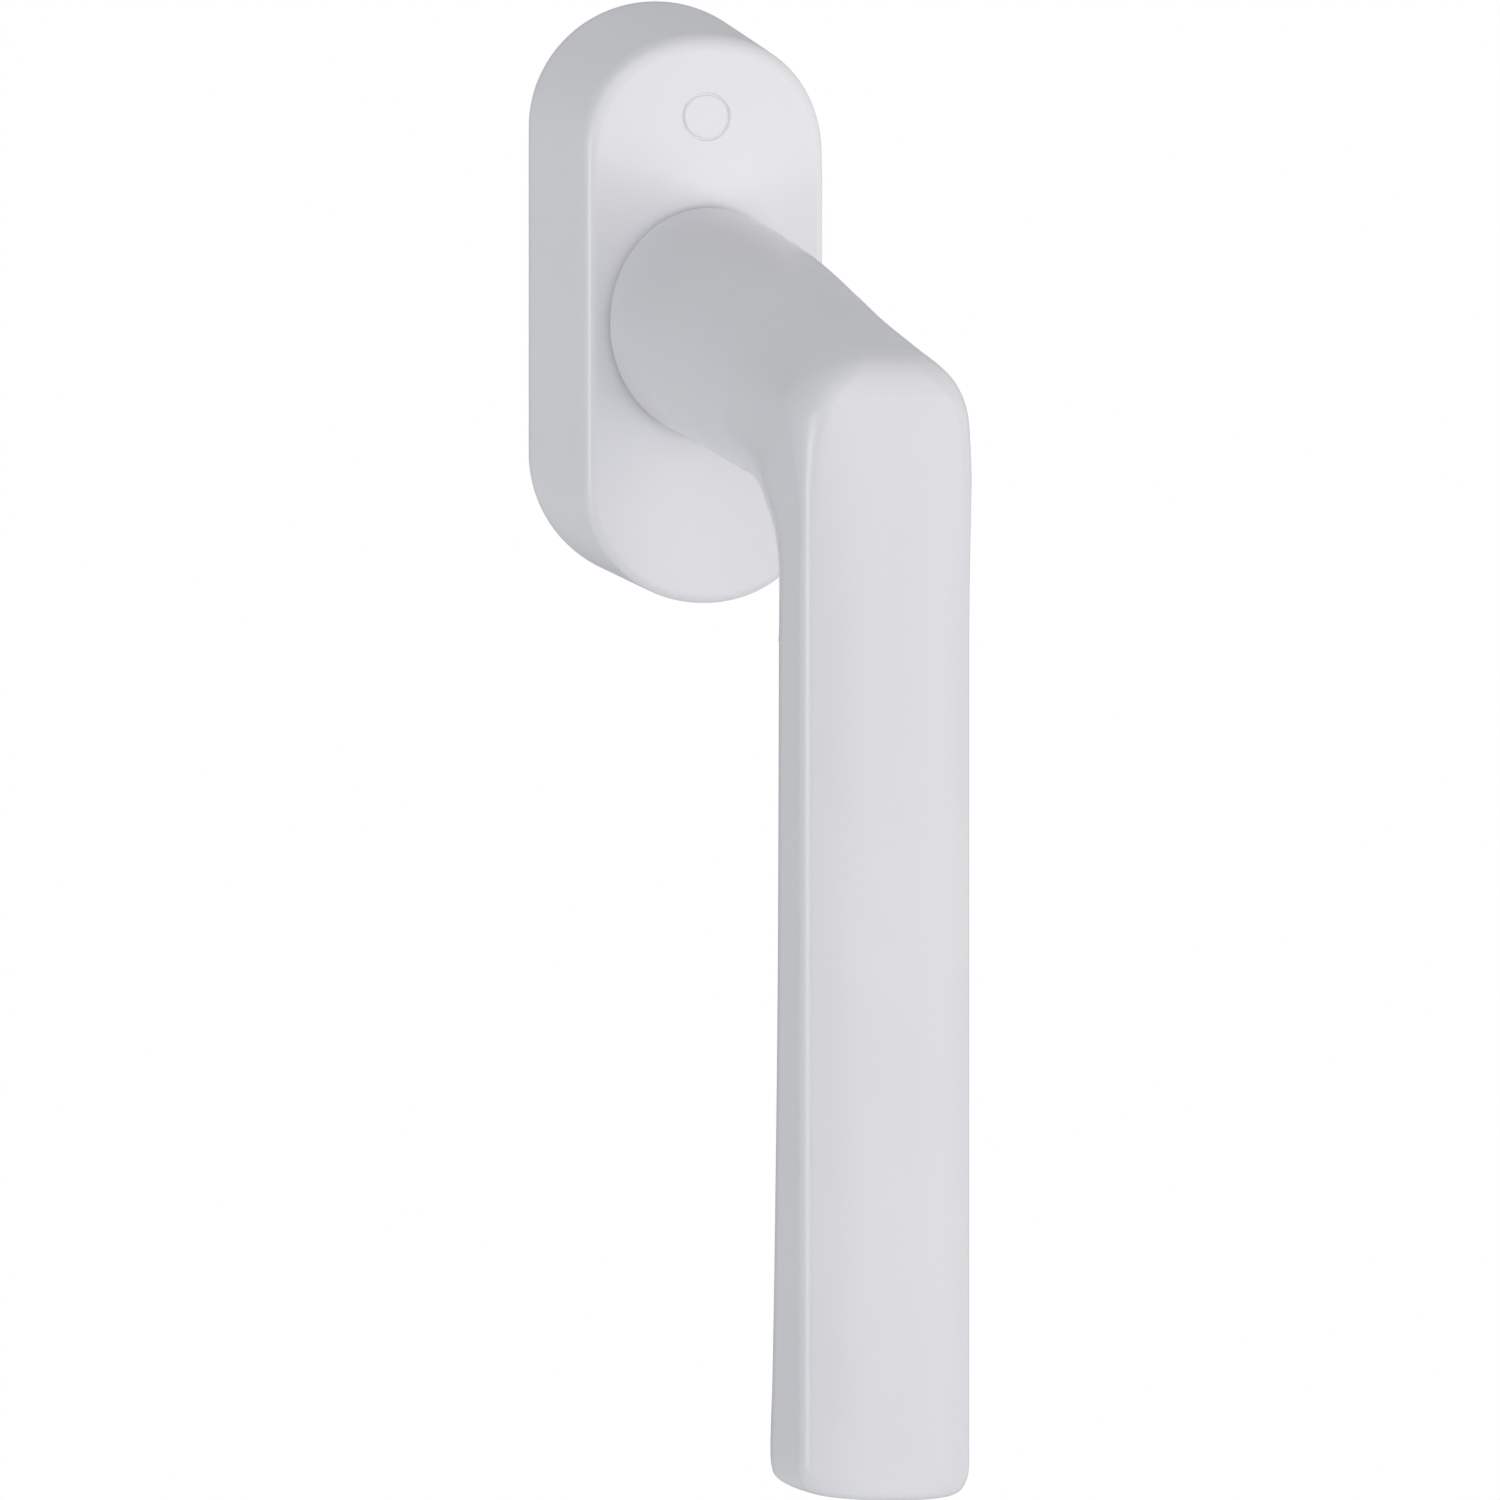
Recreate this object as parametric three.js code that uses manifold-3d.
// Tilt-and-turn window handle with an oval rosette.
//
// Millimetres, +Z up. Pieces are drawn on the sash face at y = 0, and a height is measured from
// that face towards the room, which is -Y. The whole group is then pushed back by SPINDLE_OUT, so
// the origin is the centre of the spindle's free end and +Y points out of it.
import * as THREE from 'three';
import { mergeVertices } from 'three/addons/utils/BufferGeometryUtils.js';
import Module from 'manifold-3d';

const wasm = await Module();
wasm.setup();
const { clamp, degToRad } = THREE.MathUtils;
const QUARTER_TURN = Math.PI / 2;
const FULL_TURN = 2 * Math.PI;

// ---------------------------------------------------------------- driving dimensions
const SPINDLE_SQUARE = 7.0;      // across flats
const SPINDLE_OUT = 25.0;        // beyond the sash face
const SPINDLE_IN = 28.0;         // depth reached inside the lever
const SPINDLE_CHAMFER = 0.8;
const SQUARE_HOLE = SPINDLE_SQUARE + 0.1;
const FIXING_SPACING = 43.0;     // between the two fixing screws
const SCREW_LENGTH = 25.0;       // M5, countersunk

const PIN_HEIGHT = 9.2;          // spring pin across lever and spindle
const PIN_HOLE_RADIUS = 1.55;
const PIN_LENGTH = 15.2;

const PLATE_HALF_WIDTH = 12.9;   // base plate
const PLATE_HALF_HEIGHT = 32.6;
const PLATE_THICK = 1.6;
const RECESS_RADIUS = 12.95;     // for the back plate
const RECESS_DEPTH = 1.0;
const RIVET_X = 10.4;
const STUD_Z = 29;               // small studs that locate the cover clips

const DISC_RADIUS = 6.6;         // index disc, four notches
const DISC_LOW = 2.0;
const DISC_HIGH = 4.4;
const BALL_RADIUS = 1.5;
const BALL_HEIGHT = 3.2;
const BALL_DROP = 0.8;           // ball travel into a notch
const BALL_Z = DISC_RADIUS + 0.05 + BALL_RADIUS;
const SPRING_END_Z = 12.6;

const CLIP_RING_LOW = 1.15;      // retaining ring in the spindle's groove
const CLIP_RING_HIGH = 1.85;
const GROOVE_PLAY = 0.1;         // on each face of the ring

const TURNED_SEGMENTS = 56;

// ---------------------------------------------------------------- materials
const FINISH = {
  white: { color: 0xe6e6ea, roughness: 0.42, metalness: 0.0 },
  zinc: { color: 0xa4a6a8, roughness: 0.5, metalness: 0.85 },
  steel: { color: 0xb9bcc0, roughness: 0.32, metalness: 1.0 },
  springSteel: { color: 0x8c8f94, roughness: 0.3, metalness: 1.0 },
  nylon: { color: 0x2c2d30, roughness: 0.55, metalness: 0.0 },
  acetal: { color: 0xd9d6cc, roughness: 0.5, metalness: 0.0 },
};

// ---------------------------------------------------------------- solids
function solid(geometry) {
  geometry.deleteAttribute('normal');
  geometry.deleteAttribute('uv');
  const merged = mergeVertices(geometry, 1e-5);
  const corners = merged.index.array;
  const triangles = [];
  for (let i = 0; i < merged.index.count; i += 3) {
    const [a, b, c] = [corners[i], corners[i + 1], corners[i + 2]];
    if (a !== b && b !== c && a !== c) triangles.push(a, b, c);
  }
  return new wasm.Manifold(new wasm.Mesh({
    numProp: 3,
    vertProperties: new Float32Array(merged.attributes.position.array),
    triVerts: new Uint32Array(triangles),
  }));
}

function geometryOf(manifold) {
  const mesh = manifold.getMesh();
  const geometry = new THREE.BufferGeometry();
  geometry.setAttribute('position', new THREE.BufferAttribute(mesh.vertProperties, 3));
  geometry.setIndex(new THREE.BufferAttribute(mesh.triVerts, 1));
  const flat = geometry.toNonIndexed();
  flat.computeVertexNormals();
  return flat;
}

// lathe about the spindle axis; the [radius, height] profile closes on itself or on the axis
function lathe(profile, segments = TURNED_SEGMENTS) {
  const points = profile.map(([radius, height]) => new THREE.Vector2(radius, -height));
  let area = 0;
  points.forEach((point, i) => {
    area += point.cross(points[(i + 1) % points.length]);
  });
  if (area < 0) points.reverse();
  return new THREE.LatheGeometry(points, segments);
}
const ringProfile = (inner, outer, low, high) => [
  [inner, low], [outer, low], [outer, high], [inner, high], [inner, low],
];
const turned = (profile, segments) => solid(lathe(profile, segments));
const ring = (inner, outer, low, high) => turned(ringProfile(inner, outer, low, high));
const disc = (radius, low, high, segments) =>
  turned([[0, low], [radius, low], [radius, high], [0, high]], segments);

// flat outline in the sash plane, (x, z), raised from one height to another
function raised(shape, low, high, curveSegments) {
  const settings = { depth: high - low, bevelEnabled: false, curveSegments };
  return solid(new THREE.ExtrudeGeometry(shape, settings)
    .rotateX(QUARTER_TURN)
    .translate(0, -low, 0));
}

const block = (sizeX, sizeZ, low, high, z = 0) =>
  solid(new THREE.BoxGeometry(sizeX, high - low, sizeZ).translate(0, -(low + high) / 2, z));

// ring outline with a gap centred on +x, its half angles given at the outer and inner edge
function splitRing(outer, inner, outerGap, innerGap) {
  const shape = new THREE.Shape();
  shape.absarc(0, 0, outer, outerGap, FULL_TURN - outerGap, false);
  shape.absarc(0, 0, inner, FULL_TURN - innerGap, innerGap, true);
  shape.closePath();
  return shape;
}

// a skin through closed rings of equal length, capped at both ends across mirrored points
function skin(rings) {
  const count = rings[0].length;
  const points = rings.flat();
  const index = [];
  for (let k = 0; k + 1 < rings.length; k++) {
    for (let i = 0; i < count; i++) {
      const here = k * count + i;
      const next = k * count + ((i + 1) % count);
      index.push(here, next, here + count, next, next + count, here + count);
    }
  }
  const addTriangle = (a, b, c, flipped) => {
    if (a === b || b === c || a === c) return;
    index.push(...(flipped ? [a, c, b] : [a, b, c]));
  };
  const cap = (base, flipped) => {
    for (let i = 0; i < count / 2; i++) {
      const here = base + i;
      const mirrored = base + ((count - i) % count);
      addTriangle(here, mirrored, here + 1, flipped);
      addTriangle(here + 1, mirrored, base + count - i - 1, flipped);
    }
  };
  cap(0, false);
  cap((rings.length - 1) * count, true);

  // turn the faces outwards if the rings run the other way round
  const corner = (i) => new THREE.Vector3(...points[index[i]]);
  let volume = 0;
  for (let i = 0; i < index.length; i += 3) {
    volume += corner(i).dot(corner(i + 1).cross(corner(i + 2)));
  }
  if (volume < 0) index.reverse();
  const geometry = new THREE.BufferGeometry();
  geometry.setAttribute('position', new THREE.Float32BufferAttribute(points.flat(), 3));
  geometry.setIndex(index);
  return solid(geometry);
}

// ---------------------------------------------------------------- lever
const FOOT_HEIGHT = 14.5;        // lever foot, standing clear of the cover
const GRIP_FRONT = 60.3;         // height of the grip's face
const GRIP_HALF_WIDTH = 9.6;
const GRIP_START_Z = -40;
const GRIP_END_Z = -120.95;
const GRIP_END_TAPER = 2.6;      // length over which the sides round in
const FRONT_CROWN = 1.15;        // fall of the grip's face towards its edges
const BEND_HEIGHT = 36.0;        // centre of the inner bend
const BEND_RADIUS = 13.2;
const NECK_BOTTOM_Z = -12.9;     // underside of the neck where the bend starts
const BEND_Z = NECK_BOTTOM_Z - BEND_RADIUS;

// neck: [height, z or half width]
const NECK_TOP = [[FOOT_HEIGHT, 13.62], [20, 13.7], [25, 13.5], [30, 13.0], [36, 12.1]];
const NECK_BOTTOM = [[FOOT_HEIGHT, -13.7], [20, -13.3], [25, -13.0], [36, NECK_BOTTOM_Z]];
const NECK_HALF_WIDTH = [[FOOT_HEIGHT, 11.85], [20, 11.8], [25, 11.6], [30, 11.2], [36, 10.7]];
const NECK_STATIONS = [18, 21, 24.5, 28, 32, 35.9];

// top line and front of the lever in its middle plane: [height, z]
const OUTLINE = [
  [36, 12.1], [43, 11.0], [50, 9.75], [54.5, 8.8], [57.0, 8.15], [58.5, 7.45],
  [59.55, 6.3], [60.08, 4.9], [GRIP_FRONT, 3.2], [GRIP_FRONT, GRIP_START_Z],
];

// bend: [degrees from the neck, half width or corner size across x or along the radius]
const BEND_HALF_WIDTH = [[0, 10.7], [15, 10.15], [30, 9.75], [45, 9.6], [90, GRIP_HALF_WIDTH]];
const BEND_INNER_ACROSS = [[0, 10.7], [30, 9.75], [45, 9.2], [60, 7.8], [75, 6.0], [90, 5.0]];
const BEND_INNER_RADIAL = [[0, 12.0], [30, 12.0], [45, 11.0], [60, 8.2], [75, 6.0], [90, 5.0]];
const BEND_OUTER_ACROSS = [
  [0, 10.7], [15, 9.8], [26, 8.4], [31, 7.2], [34, 5.8], [37, 4.2], [40, 2.5], [44, 1.4], [90, 1.2],
];
const BEND_OUTER_RADIAL = [
  [0, 12.0], [15, 11.3], [26, 10.0], [31, 9.0], [34, 7.8], [37, 5.8], [40, 3.5], [44, 1.6],
  [60, 1.3], [90, 1.2],
];
const BEND_STATIONS = [
  5, 10, 15, 20, 24, 27, 29, 30.5, 32, 33.5, 35, 36.5, 38, 39.5, 41.5, 44, 48, 54, 61, 68, 75, 82,
  89.9,
];

// grip's sash side: [z, height]
const GRIP_BACK = [[-121.2, 47.1], [-112, 47.7], [-95, 48.3], [-60, 49.1], [-26, 49.35]];
// grip: [z, inset of the section, share of the end's bow]
const GRIP_STATIONS = [
  [GRIP_START_Z, 0, 0], [-58, 0, 0], [-76, 0, 0], [-94, 0, 0], [-106, 0, 0], [-113, 0, 0],
  [-115.5, 0, 0.28], [-118, 0, 0.77], [-119.4, 0, 0.96],
  [GRIP_END_Z + 0.7, 0, 1], [GRIP_END_Z + 0.2, 0.21, 1], [GRIP_END_Z + 0.02, 0.52, 1],
];

// steps along each stretch of a half section
const STEPS = { innerFlat: 3, innerCorner: 7, side: 3, outerCorner: 5, outerFlat: 4 };

// smooth reading of [position, value] rows by a cubic that doesn't overshoot
function readTable(rows, position) {
  const last = rows.length - 1;
  if (position <= rows[0][0]) return rows[0][1];
  if (position >= rows[last][0]) return rows[last][1];
  let i = 0;
  while (position > rows[i + 1][0]) i++;
  const slope = (k) => (rows[k + 1][1] - rows[k][1]) / (rows[k + 1][0] - rows[k][0]);
  const tangent = (k) => {
    if (k === 0) return slope(0);
    if (k === last) return slope(last - 1);
    const before = slope(k - 1);
    const after = slope(k);
    return before * after <= 0 ? 0 : (2 * before * after) / (before + after);
  };
  const span = rows[i + 1][0] - rows[i][0];
  const t = (position - rows[i][0]) / span;
  return (2 * t ** 3 - 3 * t ** 2 + 1) * rows[i][1]
    + (t ** 3 - 2 * t ** 2 + t) * tangent(i) * span
    + (-2 * t ** 3 + 3 * t ** 2) * rows[i + 1][1]
    + (t ** 3 - t ** 2) * tangent(i + 1) * span;
}

// Closed section, symmetric about x = 0, as [x, r] points from the inner side to the outer one.
// Corners are [across x, along r]; a roundness of 2 makes them elliptical.
function section({ halfWidth, inner, outer, innerCorner, outerCorner, roundness, crown = 0 }) {
  const depth = outer - inner;
  let [innerX, innerR] = innerCorner;
  let [outerX, outerR] = outerCorner;
  if (innerR + outerR > depth) {
    const fit = depth / (innerR + outerR);
    innerR *= fit;
    outerR *= fit;
  }
  const power = 2 / roundness;
  const half = [];
  const line = (x0, r0, x1, r1, steps) => {
    for (let i = 0; i < steps; i++) {
      half.push([x0 + (x1 - x0) * i / steps, r0 + (r1 - r0) * i / steps]);
    }
  };
  const corner = (steps, pointAt) => {
    for (let i = 0; i < steps; i++) {
      const angle = QUARTER_TURN * (i / steps);
      half.push(pointAt(Math.sin(angle) ** power, Math.cos(angle) ** power));
    }
  };
  line(0, inner, halfWidth - innerX, inner, STEPS.innerFlat);
  corner(STEPS.innerCorner, (sin, cos) =>
    [halfWidth - innerX + innerX * sin, inner + innerR * (1 - cos)]);
  line(halfWidth, inner + innerR, halfWidth, outer - outerR, STEPS.side);
  corner(STEPS.outerCorner, (sin, cos) =>
    [halfWidth - outerX + outerX * cos, outer - outerR + outerR * sin]);
  line(halfWidth - outerX, outer, 0, outer, STEPS.outerFlat);
  half.push([0, outer]);
  const crowned = half.map(([x, r]) =>
    [x, r - crown * Math.abs(x / halfWidth) ** 3.4 * ((r - inner) / depth) ** 2]);
  return [...crowned, ...crowned.slice(1, -1).reverse().map(([x, r]) => [-x, r])];
}

// distance from the bend's centre to OUTLINE; the angle runs from +Z towards the room
function outlineRadius(angle) {
  const sin = Math.sin(angle);
  const cos = Math.cos(angle);
  let nearest = Infinity;
  for (let i = 0; i + 1 < OUTLINE.length; i++) {
    const height = OUTLINE[i][0] - BEND_HEIGHT;
    const z = OUTLINE[i][1] - BEND_Z;
    const rise = OUTLINE[i + 1][0] - OUTLINE[i][0];
    const run = OUTLINE[i + 1][1] - OUTLINE[i][1];
    const across = rise * cos - run * sin;
    const radius = (rise * z - run * height) / across;
    const along = (sin * z - cos * height) / across;
    if (radius > 0 && along >= -1e-6 && along <= 1 + 1e-6) nearest = Math.min(nearest, radius);
  }
  return nearest;
}

function neckRing(height, inset) {
  const halfWidth = readTable(NECK_HALF_WIDTH, height) - inset;
  const corner = [halfWidth, 20];  // more than fits, so the corners share the whole depth
  return section({
    halfWidth,
    inner: readTable(NECK_BOTTOM, height) + inset,
    outer: readTable(NECK_TOP, height) - inset,
    innerCorner: corner,
    outerCorner: corner,
    roundness: 2.0 + 0.12 * Math.min(1, (height - FOOT_HEIGHT) / 16),
  }).map(([x, z]) => [x, -height, z]);
}

function bendRing(degrees) {
  const angle = degToRad(degrees);
  return section({
    halfWidth: readTable(BEND_HALF_WIDTH, degrees),
    inner: BEND_RADIUS,
    outer: outlineRadius(angle),
    innerCorner: [readTable(BEND_INNER_ACROSS, degrees), readTable(BEND_INNER_RADIAL, degrees)],
    outerCorner: [readTable(BEND_OUTER_ACROSS, degrees), readTable(BEND_OUTER_RADIAL, degrees)],
    roundness: 2.12 - 0.12 * Math.min(1, degrees / 30),
    crown: FRONT_CROWN * clamp((degrees - 30) / 15, 0, 1) * Math.sin(angle),
  }).map(([x, r]) =>
    [x, -(BEND_HEIGHT + r * Math.sin(angle)), BEND_Z + r * Math.cos(angle)]);
}

function gripRing(z, inset, bow) {
  const taper = clamp((GRIP_END_Z + GRIP_END_TAPER - z) / GRIP_END_TAPER, 0, 1);
  return section({
    halfWidth: GRIP_HALF_WIDTH - 0.8 * (1 - Math.sqrt(1 - taper * taper)) - inset,
    inner: readTable(GRIP_BACK, z) + inset,
    outer: GRIP_FRONT - inset,
    innerCorner: [5, 5],
    outerCorner: [1.2, 1.2],
    roundness: 2,
    crown: FRONT_CROWN,
  }).map(([x, height]) => {
    const lift = 0.45 * (x / GRIP_HALF_WIDTH) ** 2 - 0.07 * (GRIP_FRONT - height);
    return [x, -height, z + bow * lift];
  });
}

// hole across lever and spindle, along x
const pinHole = () =>
  solid(new THREE.CylinderGeometry(PIN_HOLE_RADIUS, PIN_HOLE_RADIUS, 24, 24)
    .rotateZ(QUARTER_TURN)
    .translate(0, -PIN_HEIGHT, 0));

function lever() {
  const body = skin([
    neckRing(FOOT_HEIGHT, 0.45),
    neckRing(FOOT_HEIGHT + 0.13, 0.13),
    neckRing(FOOT_HEIGHT + 0.45, 0),
    ...NECK_STATIONS.map((height) => neckRing(height, 0)),
    ...BEND_STATIONS.map(bendRing),
    ...GRIP_STATIONS.map((station) => gripRing(...station)),
  ]);
  // stepped collar that turns in the bush
  const collar = turned([
    [0, 5.0], [5.9, 5.0], [6.2, 5.3], [6.2, 7.5], [8.0, 7.5],
    [8.0, FOOT_HEIGHT + 1], [0, FOOT_HEIGHT + 1],
  ]);
  return body.add(collar)
    .subtract(block(SQUARE_HOLE, SQUARE_HOLE, 0, SPINDLE_IN + 0.3))
    .subtract(pinHole());
}

// ---------------------------------------------------------------- spindle and what it carries
function spindle() {
  const half = SPINDLE_SQUARE / 2;
  const outline = new THREE.Shape([
    new THREE.Vector2(-half, -half),
    new THREE.Vector2(half, -half),
    new THREE.Vector2(half, half),
    new THREE.Vector2(-half, half),
  ]);
  const bar = new THREE.ExtrudeGeometry(outline, {
    depth: SPINDLE_OUT + SPINDLE_IN - 2 * SPINDLE_CHAMFER,
    bevelEnabled: true,
    bevelThickness: SPINDLE_CHAMFER,
    bevelSize: SPINDLE_CHAMFER,
    bevelOffset: -SPINDLE_CHAMFER,
    bevelSegments: 1,
  });
  bar.rotateX(QUARTER_TURN).translate(0, SPINDLE_OUT - SPINDLE_CHAMFER, 0);
  return solid(bar)
    .subtract(ring(4.6, 8, CLIP_RING_LOW - GROOVE_PLAY, CLIP_RING_HIGH + GROOVE_PLAY))
    .subtract(pinHole());
}

// slotted spring pin
function spindlePin() {
  const settings = { depth: PIN_LENGTH, bevelEnabled: false, curveSegments: 16 };
  return solid(new THREE.ExtrudeGeometry(splitRing(1.48, 0.95, 0.28, 0.42), settings)
    .rotateY(QUARTER_TURN)
    .translate(-PIN_LENGTH / 2, -PIN_HEIGHT, 0));
}

function indexDisc() {
  let body = disc(DISC_RADIUS, DISC_LOW, DISC_HIGH, 96)
    .subtract(block(SQUARE_HOLE, SQUARE_HOLE, 0, 10));
  const notchReach = BALL_Z - BALL_DROP;
  for (let i = 0; i < 4; i++) {
    const angle = i * QUARTER_TURN;
    body = body.subtract(disc(BALL_RADIUS + 0.2, DISC_LOW - 1, DISC_HIGH + 1, 32)
      .translate([notchReach * Math.sin(angle), 0, notchReach * Math.cos(angle)]));
  }
  return body;
}

const retainingRing = () =>
  raised(splitRing(6.4, 4.68, 0.42, 0.504), CLIP_RING_LOW, CLIP_RING_HIGH, 32);

// thin washer with three waves
function waveWasher() {
  const geometry = lathe(ringProfile(5.15, 6.45, 4.58, 4.82), 48);
  const points = geometry.attributes.position;
  for (let i = 0; i < points.count; i++) {
    const angle = Math.atan2(points.getX(i), points.getZ(i));
    points.setY(i, points.getY(i) + 0.1 * Math.cos(3 * angle));
  }
  return solid(geometry);
}

const slideWasher = () => ring(6.4, 8.9, 6.92, 7.38);

// ---------------------------------------------------------------- rosette cover
const COVER_HALF_WIDTH = 15.25;  // at the sash face
const COVER_HALF_HEIGHT = 34.85;
const COVER_FACE = 13.8;         // height of its face
const COVER_DRAFT = 1.2;         // how far each side leans in over that height
const COVER_EDGE_RADIUS = 1.05;
const COVER_CAVITY_EDGE_RADIUS = 0.6;
const COVER_WALL = 1.35;
const COVER_TOP_THICK = 1.6;
const COVER_HOLE_RADIUS = 9.6;

function coverOutline(inset, height) {
  const halfWidth = COVER_HALF_WIDTH - inset;
  const centre = COVER_HALF_HEIGHT - inset - halfWidth;
  const steps = 28;
  const points = [];
  for (const [start, centreZ] of [[0, centre], [Math.PI, -centre]]) {
    for (let i = 0; i <= steps; i++) {
      const angle = start + Math.PI * i / steps;
      points.push([halfWidth * Math.cos(angle), -height, centreZ + halfWidth * Math.sin(angle)]);
    }
  }
  // start at the top so that the cap's mirrored pairs line up
  return [...points.slice(steps / 2), ...points.slice(0, steps / 2)];
}

// leaning oval block with a rounded edge at its high end
function coverBody(inset, low, high, edge) {
  const outlineAt = (height, extra) =>
    coverOutline(inset + COVER_DRAFT * height / COVER_FACE + extra, height);
  const rings = [outlineAt(low, 0)];
  for (let i = 0; i <= 5; i++) {
    const angle = QUARTER_TURN * i / 5;
    rings.push(outlineAt(high - edge + edge * Math.sin(angle), edge * (1 - Math.cos(angle))));
  }
  return skin(rings);
}

const roseCover = () =>
  coverBody(0, 0, COVER_FACE, COVER_EDGE_RADIUS)
    .subtract(coverBody(COVER_WALL, -1, COVER_FACE - COVER_TOP_THICK, COVER_CAVITY_EDGE_RADIUS))
    .subtract(disc(COVER_HOLE_RADIUS, 5, 20));

// ---------------------------------------------------------------- base plate and its fittings
const LUG_RADIUS = 5.0;          // support lugs that sit in the sash's drilled holes
const LUG_LENGTH = 8.0;
const LUG_CHAMFER = 0.6;
const CHAMBER_RADIUS = 7.2;      // round the index disc
const WEB_BACK = 5.2;            // web between chamber and bush bore
const WEB_FRONT = 6.8;
const WEB_BORE_RADIUS = 6.35;
const BUSH_BORE_RADIUS = 9.35;
const BALL_SLOT_WIDTH = 2 * BALL_RADIUS + 0.3;

const BOSS_PROFILE = [           // [radius, height]
  [0, 0.5], [13.2, 0.5], [13.2, 6.0], [12.7, 6.5], [12.7, 10.0], [12.3, 10.4], [0, 10.4],
];
const LUG_PROFILE = [
  [0, -LUG_LENGTH], [LUG_RADIUS - LUG_CHAMFER, -LUG_LENGTH],
  [LUG_RADIUS, -LUG_LENGTH + LUG_CHAMFER], [LUG_RADIUS, 0.5], [0, 0.5],
];
const COUNTERSINK_PROFILE = [
  [0, -20], [2.7, -20], [2.7, -0.8], [5.15, PLATE_THICK + 0.05], [5.15, 5], [0, 5],
];
const RIVET_HOLE_PROFILE = [
  [0, -1], [1.9, -1], [1.9, 0.45], [1.25, 0.55], [1.25, 3], [0, 3],
];
const RIVET_PROFILE = [
  [0, 0.14], [1.72, 0.14], [1.72, 0.42], [1.15, 0.5], [1.15, 3.4], [0, 3.4],
];
const BUSH_PROFILE = [
  [8.15, 7.6], [9.2, 7.6], [9.2, 10.5], [10.6, 10.5], [10.6, 11.05], [10.4, 11.25],
  [8.35, 11.25], [8.15, 11.05], [8.15, 7.6],
];

const atFixing = (body, side) => body.translate([0, 0, side * FIXING_SPACING / 2]);
const atRivet = (body, side) => body.translate([side * RIVET_X, 0, 0]);

function plateOutline() {
  const centre = PLATE_HALF_HEIGHT - PLATE_HALF_WIDTH;
  const shape = new THREE.Shape();
  shape.absarc(0, centre, PLATE_HALF_WIDTH, 0, Math.PI, false);
  shape.absarc(0, -centre, PLATE_HALF_WIDTH, Math.PI, FULL_TURN, false);
  shape.closePath();
  return shape;
}

function basePlate() {
  let body = raised(plateOutline(), 0, PLATE_THICK, 32).add(turned(BOSS_PROFILE, 72));
  const slotEnd = SPRING_END_Z + 0.1;
  const slotHigh = BALL_HEIGHT + BALL_SLOT_WIDTH / 2;
  for (const side of [1, -1]) {
    const stud = disc(0.95, PLATE_THICK - 0.5, PLATE_THICK + 0.62, 20);
    body = body.add(atFixing(turned(LUG_PROFILE, 40), side))
      .add(stud.translate([0, 0, side * STUD_Z]))
      .subtract(atFixing(turned(COUNTERSINK_PROFILE, 40), side))
      .subtract(block(BALL_SLOT_WIDTH, slotEnd, RECESS_DEPTH - 0.2, slotHigh, side * slotEnd / 2));
  }
  body = body.subtract(disc(RECESS_RADIUS, -1, RECESS_DEPTH, 72))
    .subtract(disc(CHAMBER_RADIUS, 0, WEB_BACK))
    .subtract(disc(WEB_BORE_RADIUS, 0, 20))
    .subtract(disc(BUSH_BORE_RADIUS, WEB_FRONT, 20));
  for (const side of [1, -1]) body = body.subtract(atRivet(disc(1.25, 0, 3.6, 24), side));
  return body;
}

function backPlate() {
  let body = disc(RECESS_RADIUS - 0.15, 0.12, 0.9, 72).subtract(disc(5.6, -1, 3));
  for (const side of [1, -1]) {
    body = body.subtract(atRivet(turned(RIVET_HOLE_PROFILE, 24), side));
  }
  return body;
}

const rivet = (side) => atRivet(turned(RIVET_PROFILE, 20), side);
const neckBush = () => turned(BUSH_PROFILE);

const detentBall = (side) =>
  solid(new THREE.SphereGeometry(BALL_RADIUS, 20, 14)
    .translate(0, -BALL_HEIGHT, side * BALL_Z));

// helix along z at the ball's height, its end coils nearly flat
class Coil extends THREE.Curve {
  constructor({ radius, startZ, endZ, turns, side }) {
    super();
    Object.assign(this, { radius, startZ, endZ, turns, side });
  }

  getPoint(t, target = new THREE.Vector3()) {
    const angle = FULL_TURN * this.turns * t;
    const flat = 1 / this.turns;
    const rise = 0.12;             // share of the length taken by each end coil
    let along = rise + (1 - 2 * rise) * (t - flat) / (1 - 2 * flat);
    if (t < flat) along = rise * t / flat;
    else if (t > 1 - flat) along = 1 - rise * (1 - t) / flat;
    return target.set(
      this.radius * Math.cos(angle),
      -BALL_HEIGHT + this.radius * Math.sin(angle),
      this.side * (this.startZ + (this.endZ - this.startZ) * along),
    );
  }
}

function detentSpring(side) {
  const wire = new THREE.Shape();
  wire.absarc(0, 0, 0.17, 0, FULL_TURN, false);
  const extrudePath = new Coil({
    radius: 1.0, startZ: BALL_Z + 1.42, endZ: SPRING_END_Z - 0.22, turns: 4.5, side,
  });
  return solid(new THREE.ExtrudeGeometry(wire, { extrudePath, steps: 60, curveSegments: 3 }));
}

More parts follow.
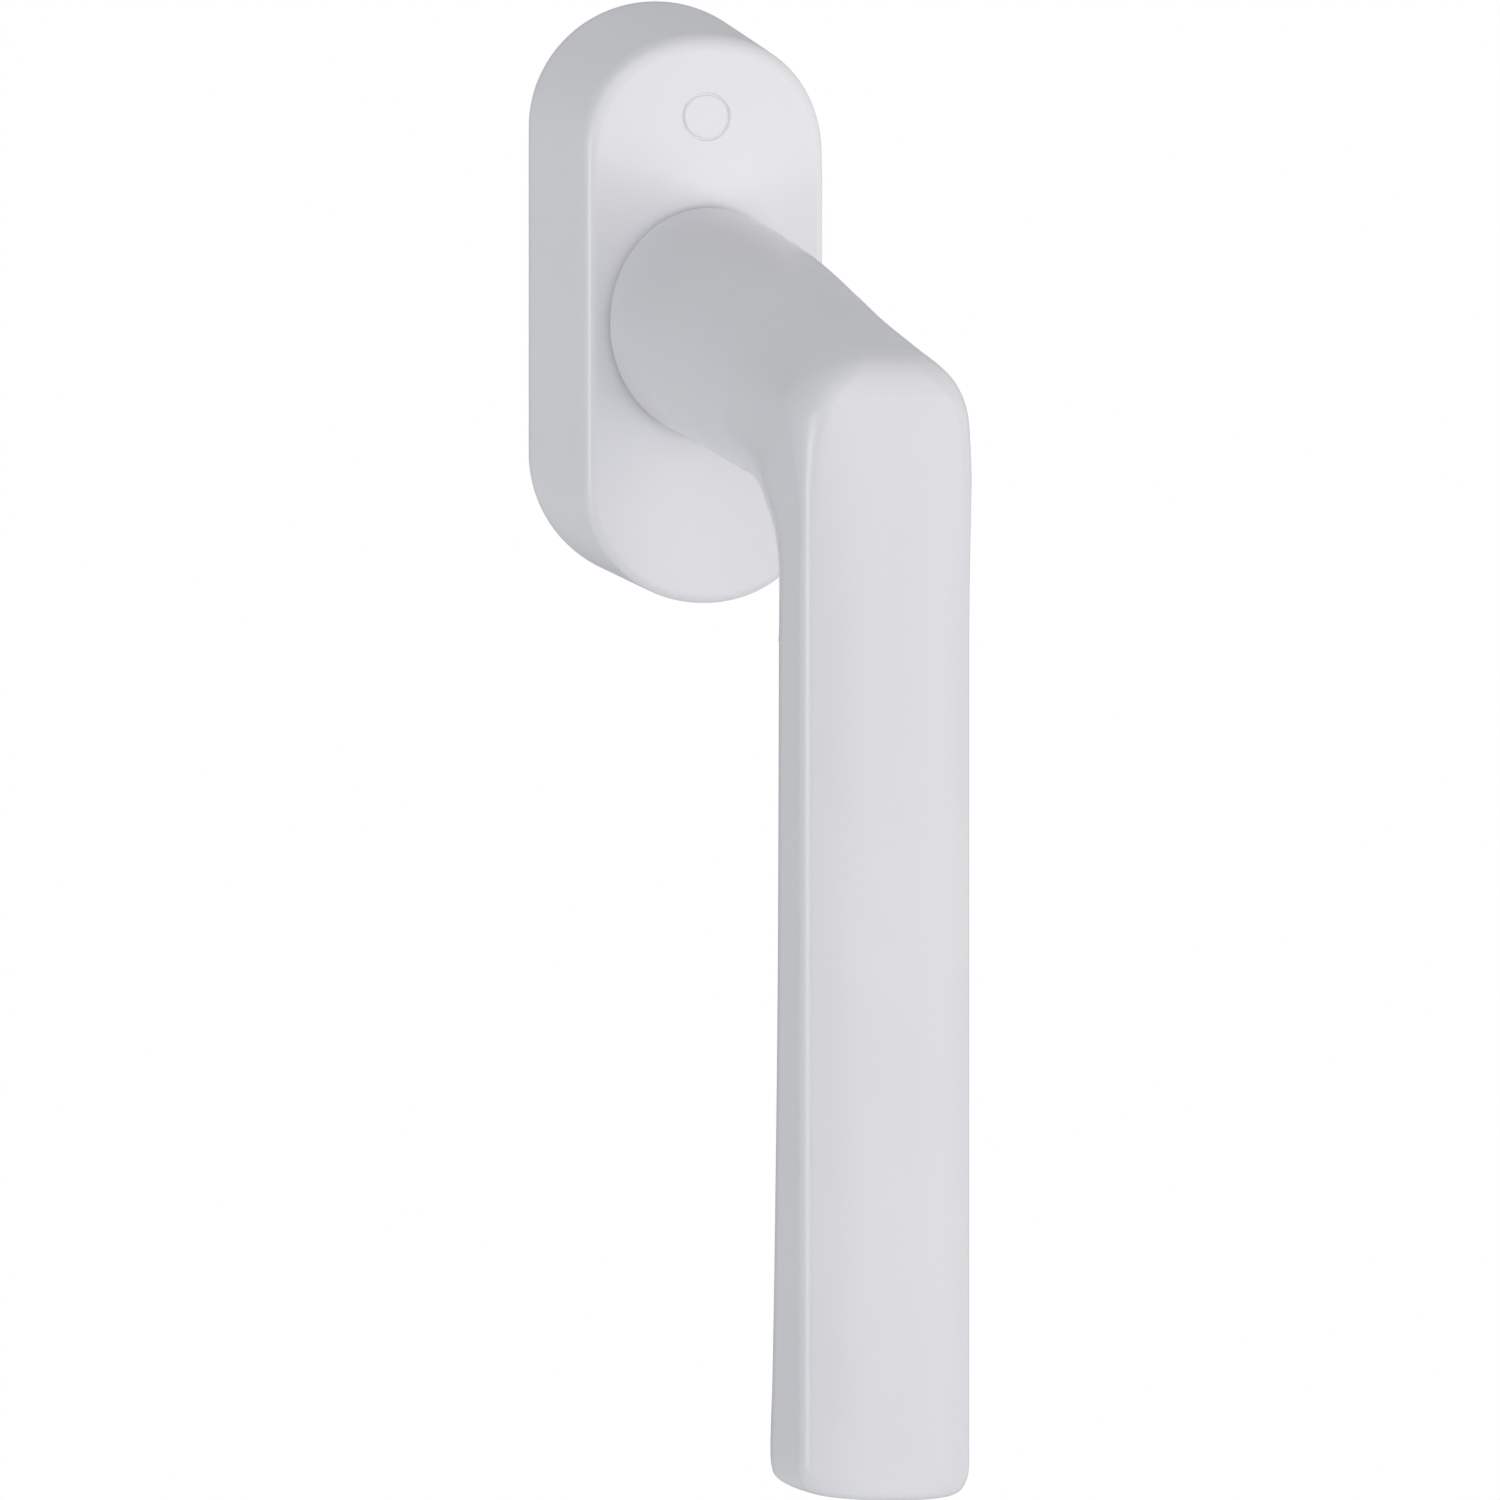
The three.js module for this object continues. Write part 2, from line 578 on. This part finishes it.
// countersunk head just below the plate's face, plain shank, ribbed end in place of a thread
function fixingScrew(side) {
  const head = PLATE_THICK - 0.1;
  const tip = head - SCREW_LENGTH;
  const [root, crest, pitch, ribStart] = [2.05, 2.45, 1.6, -8.3];
  const profile = [
    [0, head], [4.6, head], [4.6, head - 0.25], [2.4, head - 2.45], [2.4, -8], [root, ribStart],
  ];
  for (let height = ribStart; height > tip + 3.4; height -= pitch) {
    profile.push([crest, height - 0.6], [crest, height - 0.8], [root, height - 1.4]);
  }
  profile.push([root, tip + 1.0], [1.5, tip], [0, tip]);
  let body = turned(profile, 18);
  // cross recess, two tapered wings at right angles
  for (const angle of [0.4, 0.4 + QUARTER_TURN]) {
    body = body.subtract(solid(new THREE.CylinderGeometry(2.25, 1.15, 2.3, 4, 1)
      .rotateY(Math.PI / 4)
      .scale(1, 1, 0.27)
      .rotateY(angle)
      .rotateX(Math.PI)
      .translate(0, -(head - 1.1), 0)));
  }
  return atFixing(body, side);
}

function coverClip(side) {
  const shape = new THREE.Shape();
  shape.moveTo(-3.4, 27.0);
  shape.lineTo(3.4, 27.0);
  shape.lineTo(5.6, 30.6);
  shape.quadraticCurveTo(3.0, 33.12, 0, 33.12);
  shape.quadraticCurveTo(-3.0, 33.12, -5.6, 30.6);
  shape.closePath();
  const hole = new THREE.Path();
  hole.absarc(0, STUD_Z, 1.1, 0, FULL_TURN, true);
  shape.holes.push(hole);
  const clip = raised(shape, PLATE_THICK + 0.06, PLATE_THICK + 0.48, 10);
  return side > 0 ? clip : clip.rotate([0, 180, 0]);
}

// ---------------------------------------------------------------- assembly
const handle = new THREE.Group();
handle.position.y = -SPINDLE_OUT;

function place(name, body, finish) {
  const mesh = new THREE.Mesh(geometryOf(body), new THREE.MeshStandardMaterial(finish));
  mesh.name = name;
  handle.add(mesh);
}
function placePair(name, build, finish) {
  place(`${name}_upper`, build(1), finish);
  place(`${name}_lower`, build(-1), finish);
}

place('lever', lever(), FINISH.white);
place('spindle', spindle(), FINISH.steel);
place('spindle_pin', spindlePin(), FINISH.springSteel);
place('index_disc', indexDisc(), FINISH.steel);
place('retaining_ring', retainingRing(), FINISH.springSteel);
place('wave_washer', waveWasher(), FINISH.springSteel);
place('slide_washer', slideWasher(), FINISH.acetal);
place('rose_cover', roseCover(), FINISH.white);
place('base_plate', basePlate(), FINISH.zinc);
place('back_plate', backPlate(), FINISH.steel);
place('back_plate_rivet_left', rivet(-1), FINISH.steel);
place('back_plate_rivet_right', rivet(1), FINISH.steel);
place('neck_bush', neckBush(), FINISH.nylon);
placePair('detent_ball', detentBall, FINISH.steel);
placePair('detent_spring', detentSpring, FINISH.springSteel);
placePair('fixing_screw', fixingScrew, FINISH.steel);
placePair('cover_clip', coverClip, FINISH.springSteel);

const part = new THREE.Group();
part.add(handle);
export default part;
